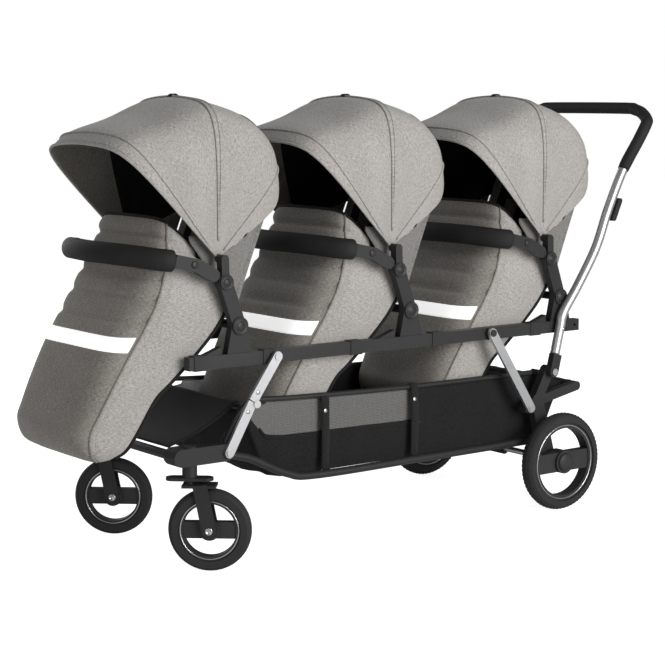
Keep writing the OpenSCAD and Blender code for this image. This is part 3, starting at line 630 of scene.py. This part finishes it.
for k in range(3):
    body = "seat_%d" % (k + 1)
    placed = muff + np.array([seatX[k], 0, 0])
    facing = np.cross(placed[1, 0] - placed[0, 0], placed[0, 1] - placed[0, 0])
    sign = 1 if np.dot(facing, outward[0, 0]) > 0 else -1
    bag = sheetObject("footmuffShell%d" % (k + 1), placed, [greyCloth, frontClothWithPaintedShade], muffSize["wall"],
                      muffPick, sign)
    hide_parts("seat_%d_footmuff" % (k + 1))
    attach(bag, body)
    for side, column in (("Left", seamColumn), ("Right", otherColumn)):
        seamLine = placed[:, column] + outward[:, column] * 0.0006
        pipe = tubeObject("muffPiping%s%d" % (side, k + 1), seamLine, 0.0026, frontClothWithPaintedShade, 10)
        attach(pipe, body)
    rim = np.vstack([placed[::-1, 0], placed[0, 1:], placed[1:, -1]])
    tape = tubeObject("muffBinding%d" % (k + 1), rim[2:-2], 0.0042, blackCloth, 10)
    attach(tape, body)
    low, high = sorted((seamColumn, otherColumn))
    rows = slice(bandRow - 3, bandRow + 5)
    strip = placed[rows, low + 1:high] + outward[rows, low + 1:high] * 0.0012
    # the reflective strip's finish carries a painted glow
    band = sheetObject("muffBand%d" % (k + 1), strip, [reflective], 0.001, None, sign)
    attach(band, body)
    points, headings = [], []
    for q in quiltAt:
        row = int(round(q * (muff.shape[0] - 1)))
        p, h = dashes((placed + outward * 0.0008)[row, low + 2:high - 1], 0.007)
        points.append(p)
        headings.append(h)
    for column in (low - 2, high + 2):
        p, h = dashes((placed + outward * 0.0008)[:, column], 0.007)
        points.append(p)
        headings.append(h)
    sewn = scatter("muffStitches%d" % (k + 1), np.vstack(points), np.vstack(headings),
                   (0.001, 0.001, 0.0042), thread)
    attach(sewn, body)
    row = bandRow + 8
    patch = placed[row:row + 7, high - 1:high + 2] + outward[row:row + 7, high - 1:high + 2] * 0.002
    tag = sheetObject("muffTab%d" % (k + 1), patch, [blackCloth], 0.0014, None, sign)
    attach(tag, body)
print("footmuffs made")


# seat liners and harness straps

linerSize = {"half": 0.1625, "crown": 0.013, "wall": 0.014}
linerPath = [(-122, 842), (-96, 780), (-66, 706), (-40, 640), (-22, 596), (0, 572), (50, 574),
             (98, 572), (126, 540), (160, 470), (204, 392), (246, 322)]
line = smoothLine(np.array(linerPath) / 1000, 61)
steps = np.linspace(-1, 1, 33)
tang = np.gradient(line, axis=0)
tang /= np.linalg.norm(tang, axis=1, keepdims=True)
outLine = np.stack([-tang[:, 1], tang[:, 0]], 1)
pad = np.zeros((61, 33, 3))
for i in range(61):
    fold = 1 - 0.75 * math.exp(-((i - 24) / 3.0) ** 2)
    for j, s in enumerate(steps):
        channel = 0.004 * (math.exp(-((s - 0.5) / 0.04) ** 2) + math.exp(-((s + 0.5) / 0.04) ** 2))
        ridge = 0.75 + 0.25 * math.cos(3 * math.pi * s)
        swell = linerSize["crown"] * (1 - abs(s) ** 3) * fold * ridge - channel
        spot = line[i] + outLine[i] * swell
        pad[i, j] = (spot[0], s * linerSize["half"], spot[1])


def linerPick(i, j):
    return 1 if j in (10, 11, 20, 21) or j < 4 or j >= 28 else 0


for k in range(3):
    body = "seat_%d" % (k + 1)
    placed = pad + np.array([seatX[k], 0, 0])
    normal = np.cross(placed[1, 16] - placed[0, 16], placed[0, 17] - placed[0, 16])
    sign = 1 if normal[0] > 0 else -1
    made = sheetObject("linerPad%d" % (k + 1), placed, [blackCloth, liningCloth], linerSize["wall"],
                       linerPick, sign)
    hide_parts("seat_%d_liner" % (k + 1))
    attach(made, body)
    for side, word in bothSides:
        at = 16 + side * 5
        lead = placed[4:30, at]
        face = np.stack([outLine[4:30, 0], np.zeros(26), outLine[4:30, 1]], 1)
        strap = ribbon("harnessStrap%s%d" % (word, k + 1), lead + face * 0.002, (0, 1, 0), face,
                       0.032, 0.003, webbing)
        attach(strap, body)
        cover = ribbon("shoulderPad%s%d" % (word, k + 1), lead[2:13] + face[2:13] * 0.004, (0, 1, 0),
                       face[2:13], 0.046, 0.007, liningCloth)
        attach(cover, body)

# side panels from the seat back to the footmuff

wingPlane = 0.1665
wingBack = smoothLine([(-0.020, 0.600), (-0.040, 0.644), (-0.066, 0.708), (-0.088, 0.764),
                       (-0.100, 0.792)], 15)
wingFront = smoothLine([(0.020, 0.604), (0.046, 0.664), (0.074, 0.706), (0.098, 0.738),
                        (0.100, 0.752)], 15)


def wingRow(k, side, back, front, drop):
    row = []
    for t in np.linspace(0, 1, 13):
        bulge = math.sin(math.pi * t)
        row.append((seatX[k] + back[0] + (front[0] - back[0]) * t,
                    side * (wingPlane + 0.005 * t + 0.006 * bulge),
                    back[1] + (front[1] - back[1]) * t - 0.018 * bulge * drop))
    return row


for k in range(3):
    for side, word in bothSides:
        wing = np.array([wingRow(k, side, b, f, n / 14)
                         for n, (b, f) in enumerate(zip(wingBack, wingFront))])
        wide, long, area = sheetSizes(wing)
        made = sheetObject("seatWing%s%d" % (word, k + 1), wing, [liningCloth], 0.002)
        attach(made, "seat_%d" % (k + 1))
print("liners made")


# bumper bars

padSize = {"tall": 1.1, "deep": 0.87, "radius": 0.0225}
# places are ahead of the lower hub and up from the floor
hubs = [((0, 0.547), 0.0205), ((0.036, 0.648), 0.0175)]  # place and cap radius
capPlane = 0.2268
buttonSpot = (0.118, 0.692)
buttonPlane = 0.2226
gripHalf = [(170, 213, 703), (186, 209, 704.8), (203, 192, 707), (221, 158, 710.5),
            (240, 112, 713.5), (253, 58, 715), (258, 0, 715)]
gripLine = catmull(np.array(gripHalf + [(x, -y, z) for x, y, z in gripHalf[-2::-1]]) / 1000, 10)
for k in range(3):
    body = "bumper_%d" % (k + 1)
    barLine = gripLine[2:-2] + np.array([seatX[k], 0, 0])
    made = tubeObject("bumperPad%d" % (k + 1), barLine, padSize["radius"], foam, 28,
                      (padSize["deep"], padSize["tall"]), 0.35)
    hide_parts("seat_%d_bumper_grip" % (k + 1))
    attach(made, body)
    for side, word in bothSides:
        button = lathe("barButton%s%d" % (word, k + 1),
                       [(0.0085, 0), (0.0085, 0.0022), (0.0075, 0.0032), (0.002, 0.0034)],
                       (seatX[k] + buttonSpot[0], side * buttonPlane, buttonSpot[1]), (0, side, 0),
                       satin, 24)
        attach(button, body)
        for h, r in hubs:
            profile = [(r, 0), (r, 0.0012), (r * 0.86, 0.0018), (r * 0.82, 0.0006), (r * 0.55, 0.0006),
                       (r * 0.5, 0.0022), (r * 0.1, 0.0028)]
            cap = lathe("hubCap%s%d_%d" % (word, k + 1, int(h[1] * 1000)), profile,
                        (seatX[k] + h[0], side * capPlane, h[1]), (0, side, 0), satin, 40)
            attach(cap, "seat_%d" % (k + 1))
print("bumper bars made")


# handle, lower tubes and basket rim

handleSide = [(-22, 467), (-34, 508), (-84, 575), (-147, 670), (-189, 768), (-242, 871), (-298, 948),
              (-326, 990)]
handlePlane = 240
handleRear, handleTop = -348, 1030.5
handleCorner = [(0.972, 0.955), (0.988, 0.86), (0.9965, 0.74), (1, 0.58)]
footStart = np.array([6.0225, 357.012])  # lower pivot of the handle
footUnit = np.array(handleSide[0]) - footStart
footUnit /= np.linalg.norm(footUnit)
tubeFrom = 46.3  # the foot holds the tube from here up
start = footStart + footUnit * tubeFrom
leftRun = [(start[0], handlePlane, start[1])] + [(x, handlePlane, z) for x, z in handleSide]
leftRun += [(handleRear * c, handlePlane * w, handleTop * c) for c, w in handleCorner]
handleRun = np.array(leftRun + [(x, -y, z) for x, y, z in leftRun[::-1]])
handleLine = catmull((handleRun - np.array([midX * 1000, 0, 0])) / 1000, 9)
tube = tubeObject("handleTubeSmooth", handleLine, 0.0125, silver, 28)
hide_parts("handle_tube")
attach(tube, "handle")
gripFrom = 54  # points of the line below the foam, on each side
cut = handleLine[gripFrom:len(handleLine) - gripFrom]
ring = np.full(len(cut), 0.0155)
ring[:2] = (0.0142, 0.0152)
ring[-2:] = (0.0152, 0.0142)
grip = tubeObject("handleFoam", cut, ring, foam, 28)
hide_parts("handle_grip")
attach(grip, "handle")

lowerPath = [(987.2, 252), (930, 236), (830, 190), (740, 175), (400, 176), (39.6, 178)]
rimPath = [(28.4, 351), (155, 351), (470, 353), (780, 361), (900, 366), (935, 352), (962, 318),
           (988, 276.5)]
lowerPlane, rimPlane, rimRadius = 0.218, 0.1899, 0.006


def sideLine(path, y, count):
    line = catmull(np.array(path) / 1000, count)
    return np.stack([line[:, 0] - midX, np.full(len(line), y), line[:, 1]], 1)


lowers, rims = [], []
for side, word in bothSides:
    made = tubeObject("lowerTube" + word, sideLine(lowerPath, side * lowerPlane, 8), 0.0095, tubeCoat, 24)
    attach(made, "base")
    lowers.append(made)
    made = tubeObject("rimTube" + word, sideLine(rimPath, side * rimPlane, 8), rimRadius, tubeCoat, 18)
    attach(made, "base")
    rims.append(made)
bridgeLine = [(0.935 - midX, y, 0.352) for y in np.linspace(-rimPlane, rimPlane, 24)]
bridge = tubeObject("rimBridge", bridgeLine, rimRadius, tubeCoat, 18)
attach(bridge, "base")
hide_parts("lower_frame")
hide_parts("basket_rim")
print("tubes made")


# basket: one hung sheet with a net front, straps and snaps

basketSize = {"half": 0.1830, "floorHalf": 0.177, "wall": 0.0016}
rimLine = catmull(np.array(rimPath[:6]) / 1000, 12)
floorPath = [(-0.0823, 0.3128), (-0.022, 0.186), (0.02, 0.1755), (0.82, 0.1755), (0.86, 0.184),
             (0.925, 0.342)]


def basketTop(x):
    if x < 0.03:
        return float(np.interp(x, [-0.0823, 0.03], [0.3158, 0.3505]))
    if x > 0.86:
        return float(np.interp(x, [0.86, 0.925], [0.3545, 0.345]))
    return float(np.interp(x, rimLine[:, 0], rimLine[:, 1])) - 0.001


def basketFloor(x):
    return float(np.interp(x, *zip(*floorPath)))


stations = np.concatenate([np.linspace(-0.0823, 0.02, 12), np.linspace(0.035, 0.82, 70),
                           np.linspace(0.83, 0.925, 14)])
wallSteps = np.linspace(0, 1, 13)
seamRow = 6  # the net ends here, steps below the rim
basket = []
for x in stations:
    top, low = basketTop(x), basketFloor(x)
    row = []
    deep = max(top - low, 0.003)
    ripple = 0.0025 * math.sin(x * 23) + 0.0015 * math.sin(x * 57 + 1)
    for t in wallSteps:
        inward = (basketSize["half"] - basketSize["floorHalf"]) * t ** 3
        y = basketSize["half"] - inward - ripple * math.sin(math.pi * t)
        row.append((x - midX, min(y, 0.1834), top - deep * t))
    floor = [(x - midX, y, low + 0.003 * math.cos(y * 40) * min(1, deep / 0.1))
             for y in np.linspace(basketSize["floorHalf"], -basketSize["floorHalf"], 15)[1:-1]]
    basket.append(row + floor + [(a, -b, c) for a, b, c in row[::-1]])
basket = np.array(basket)


def basketPick(i, j):
    onWall = min(j, basket.shape[1] - 2 - j)
    return 1 if 0.40 < stations[i] < 0.90 and onWall < seamRow else 0


wide, long, area = sheetSizes(basket)
bag = sheetObject("basketCloth", basket, [blackCloth, net], basketSize["wall"], basketPick, -1)
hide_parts("basket")
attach(bag, "base")
snaps = []
for sign, word in bothSides[::-1]:
    col = seamRow if sign > 0 else basket.shape[1] - 1 - seamRow
    lead = basket[44:90, col] + np.array([0, sign * 0.0008, 0])
    seam = ribbon("netSeam" + word, lead, (0, 0, 1), (0, sign, 0), 0.011, 0.0014, blackCloth)
    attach(seam, "base")
    for number, x in enumerate((0.43, 0.704)):
        drop = [(x - midX, sign * 0.1835, 0.3605), (x - midX, sign * 0.1905, 0.3605)]
        drop += [(x - midX, sign * (0.1975 + 0.002 * math.sin(t * 3)), 0.360 - t * 0.175)
                 for t in np.linspace(0, 1, 16)[1:]]
        drop += [(x - midX, sign * 0.204, 0.1795), (x - midX, sign * 0.2075, 0.172)]
        strap = ribbon("basketStrap%s%d" % (word, number + 1), smoothLine(drop, 30), (1, 0, 0),
                       (0, sign, 0), 0.022, 0.0016, webbing)
        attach(strap, "base")
        snaps.append((x - midX, sign * 0.2003, 0.322))
snapHeads = scatter("strapSnaps", snaps, [(0, s[1], 0) for s in snaps], (0.013, 0.013, 0.005), bright)
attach(snapHeads, "base")

# foot sling and padded rear bar

slingLow = np.array([1125.1, 276])
slingTop = np.array([935, 361])
slingHalf = 0.1755
slingLine = smoothLine([slingLow, slingLow * 0.66 + slingTop * 0.34 - 7,
                        slingLow * 0.33 + slingTop * 0.67 - 6, slingTop], 30)
sling = []
for i, p in enumerate(slingLine):
    row = []
    for y in np.linspace(-slingHalf, slingHalf, 25):
        dip = 0.004 * (1 - (y / slingHalf) ** 2) * math.sin(math.pi * i / 29)
        row.append(((p[0] / 1000) - midX, y, p[1] / 1000 + 0.0022 - dip))
    sling.append(row)
sling = np.array(sling)
wide, long, area = sheetSizes(sling)
made = sheetObject("footSling", sling, [blackCloth], 0.003)
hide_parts("footrest_sling")
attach(made, "base")
rearBar = {"x": -0.09395, "z": 0.309, "half": 0.203, "radius": 0.013}
barSteps = np.linspace(-rearBar["half"], rearBar["half"], 40)
barLine = [(rearBar["x"] - midX, y, rearBar["z"]) for y in barSteps]
barRadii = [rearBar["radius"] + 0.0006 * math.sin(i * 1.3) for i in range(40)]
made = tubeObject("rearPad", barLine, barRadii, blackCloth, 26, None, 0.55)
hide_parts("rear_bar")
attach(made, "base")
print("basket made")


# wheels: silver rings, hub caps and tread

castorTurn = math.radians(-40)
castorTrail = 0.045
castorAxis = (-math.sin(castorTurn), math.cos(castorTurn), 0)
# radius, width, radius of the bright ring, tread blocks in a row
wheelSize = {"rear": (0.126, 0.040, 0.0957, 64), "front": (0.095, 0.034, 0.0662, 0)}
ringShare = 0.385  # of the wheel's width, from its middle to each bright ring
boltPlane = 0.0243  # from the wheel's middle to the fork's outer face
wheelList = []
for side, word in bothSides:
    wheelList.append(("rear", word, (-midX, side * 0.272, 0.126), (0, 1, 0), side))
    spot = (1.095 - castorTrail * math.cos(castorTurn) - midX,
            side * 0.216 - castorTrail * math.sin(castorTurn), 0.095)
    wheelList.append(("front", word, spot, castorAxis, side))
for place, word, centre, axis, side in wheelList:
    radius, width, ringAt, treads = wheelSize[place]
    body = "%s_%s_wheel" % (place, word.lower())
    centre, axis = Vector(centre), Vector(axis)
    u = axis.orthogonal().normalized()
    v = axis.cross(u)
    for face in (-1, 1):
        hoop = [centre + axis * (face * width * ringShare) + (u * math.cos(t) + v * math.sin(t)) * ringAt
                for t in np.linspace(0, 2 * math.pi, 97)[:-1]]
        ringPiece = tubeObject("%s%sRing%s" % (place, word, "Out" if face == side else "In"),
                               [tuple(p) for p in hoop], 0.0016, bright, 10, None, 0, True)
        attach(ringPiece, body)
        if place == "rear" and face == side:
            profile = [(radius * 0.19, 0), (radius * 0.19, 0.003), (radius * 0.16, 0.006),
                       (radius * 0.05, 0.0075)]
            cap = lathe("rear%sCapOut" % word, profile, centre + axis * (face * (width * 0.5 - 0.001)),
                        axis * face, rimPlastic, 36)
            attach(cap, body)
    if place == "front":
        for face in (-1, 1):
            profile = [(0.0085, 0), (0.0085, 0.0015), (0.006, 0.0025), (0.0055, 0.001), (0.001, 0.001)]
            bolt = lathe("%sBolt%s" % (word.lower(), "Out" if face == side else "In"), profile,
                         centre + axis * (face * boltPlane), axis * face, bright, 24)
            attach(bolt, "front_%s_castor" % word.lower())
    if treads:
        points, headings = [], []
        for row in (-0.32, -0.11, 0.11, 0.32):
            for n in range(treads):
                t = 2 * math.pi * (n + (0.5 if row in (-0.11, 0.32) else 0)) / treads
                fall = 0.0024 if abs(row) < 0.2 else 0.0060
                spoke = u * math.cos(t) + v * math.sin(t)
                points.append(centre + axis * (row * width) + spoke * (radius - fall))
                headings.append(u * -math.sin(t) + v * math.cos(t))
        blocks = scatter("%s%sTread" % (place, word), points, headings, (0.006, 0.006, 0.0088), tyreRubber)
        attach(blocks, body)
print("wheels made")


# rivets on the frame, and finishes for the imported parts

rivetPlane = {"rails": 0.2258, "handle": 0.2525, "upper_legs": 0.2418, "lower_legs": 0.2418}
rivets = {body: [] for body in rivetPlane}
for side in (-1, 1):
    for x in (0.05, 0.378, 0.63, 0.882, 1.068):
        rivets["rails"].append((x - midX, side * rivetPlane["rails"], 0.470))
    rivets["handle"].append((-0.022 - midX, side * rivetPlane["handle"], 0.467))
    rivets["upper_legs"].append((0.926 - midX, side * rivetPlane["upper_legs"], 0.393))
    rivets["lower_legs"].append((0.953 - midX, side * rivetPlane["lower_legs"], 0.351))
for body, points in rivets.items():
    # those on the rails are flat, so that the folded handle passes them
    thick, finish = (0.0026, moulding) if body == "rails" else (0.0045, bright)
    heads = scatter("rivetHeads" + body.title().replace("_", ""), points, [(0, p[1], 0) for p in points],
                    (0.011, 0.011, thick), finish)
    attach(heads, body)
finishOf = {"frame_black": tubeCoat, "plastic_black": moulding, "plastic_satin": satin, "steel": bright,
            "silver": silver, "cloth_black": blackCloth, "cloth_grey": greyCloth, "foam": foam,
            "tyre": tyreRubber, "rim": rimPlastic}
for part in frame["record"]["subparts"]:
    piece = nodes.get(part["node"])
    if piece is not None:
        piece.data.materials.clear()
        piece.data.materials.append(finishOf[part["material_slot"]])
print("rivets made, finishes set")


# floor, light and camera

floorMesh = bpy.data.meshes.new("studioFloor")
floorMesh.from_pydata([(-14, -14, 0), (14, -14, 0), (14, 14, 0), (-14, 14, 0)], [], [(0, 1, 2, 3)])
floorPiece = bpy.data.objects.new("studioFloor", floorMesh)
bpy.context.collection.objects.link(floorPiece)
white = Shade("studioWhite")
seen = white.node("ShaderNodeLightPath", {}, {}, 0)
lit = white.node("ShaderNodeBsdfDiffuse", {}, {"Color": (0.9, 0.9, 0.9, 1)})
glow = white.node("ShaderNodeEmission", {}, {"Color": (1, 1, 1, 1), "Strength": 0.87})
both = white.tree.nodes.new("ShaderNodeAddShader")
white.feed(both.inputs[0], lit)
white.feed(both.inputs[1], glow)
only = white.tree.nodes.new("ShaderNodeMixShader")
white.feed(only.inputs[0], seen)
white.feed(only.inputs[1], lit)
white.feed(only.inputs[2], Sock(white, both.outputs[0]))
white.feed(white.tree.nodes["Material Output"].inputs["Surface"], Sock(white, only.outputs[0]))
floorMesh.materials.append(white.material)

scene = bpy.context.scene
scene.view_settings.view_transform = "Standard"
world = bpy.data.worlds.new("studioWorld")
scene.world = world
world.use_nodes = True
back = world.node_tree.nodes["Background"]
path = world.node_tree.nodes.new("ShaderNodeLightPath")
strength = world.node_tree.nodes.new("ShaderNodeMapRange")
world.node_tree.links.new(path.outputs["Is Camera Ray"], strength.inputs["Value"])
strength.inputs["To Min"].default_value = 0.17
strength.inputs["To Max"].default_value = 1.0
world.node_tree.links.new(strength.outputs["Result"], back.inputs["Strength"])
back.inputs["Color"].default_value = (1, 1, 1, 1)

# place, size in metres and power in watts
lights = {"keyLight": ((-0.5, 4.7, 1.7), 2.6, 225.0), "fillLight": ((3.8, 0.4, 1.0), 3.0, 24.0),
          "topLight": ((-0.4, 0.6, 4.2), 3.0, 4.0), "farLight": ((0.6, -4.8, 1.8), 3.0, 85.0)}
for name, (spot, size, power) in lights.items():
    lamp = bpy.data.lights.new(name, "AREA")
    lamp.size = size
    lamp.energy = power
    holder = bpy.data.objects.new(name, lamp)
    holder.location = spot
    holder.rotation_euler = (Vector((0, 0, 0.5)) - Vector(spot)).to_track_quat("-Z", "Y").to_euler()
    bpy.context.collection.objects.link(holder)

# fitted to the photo, which is 665 pixels wide; the focal length is 1790 of them
view = {"spot": (3.2003 - midX, 3.5655 - midY, 1.0605), "turn": 36.8, "dip": 7.495,
        "lens": 36 * 1790 / 665}
eye = bpy.data.cameras.new("photoCamera")
eye.lens = view["lens"]
eye.sensor_width = 36
eyeHolder = bpy.data.objects.new("photoCamera", eye)
eyeHolder.location = view["spot"]
yaw, dip = math.radians(view["turn"]), math.radians(view["dip"])
ahead = Vector((-math.sin(yaw) * math.cos(dip), -math.cos(yaw) * math.cos(dip), -math.sin(dip)))
eyeHolder.rotation_euler = ahead.to_track_quat("-Z", "Y").to_euler()
bpy.context.collection.objects.link(eyeHolder)
scene.camera = eyeHolder
print("camera and light set")
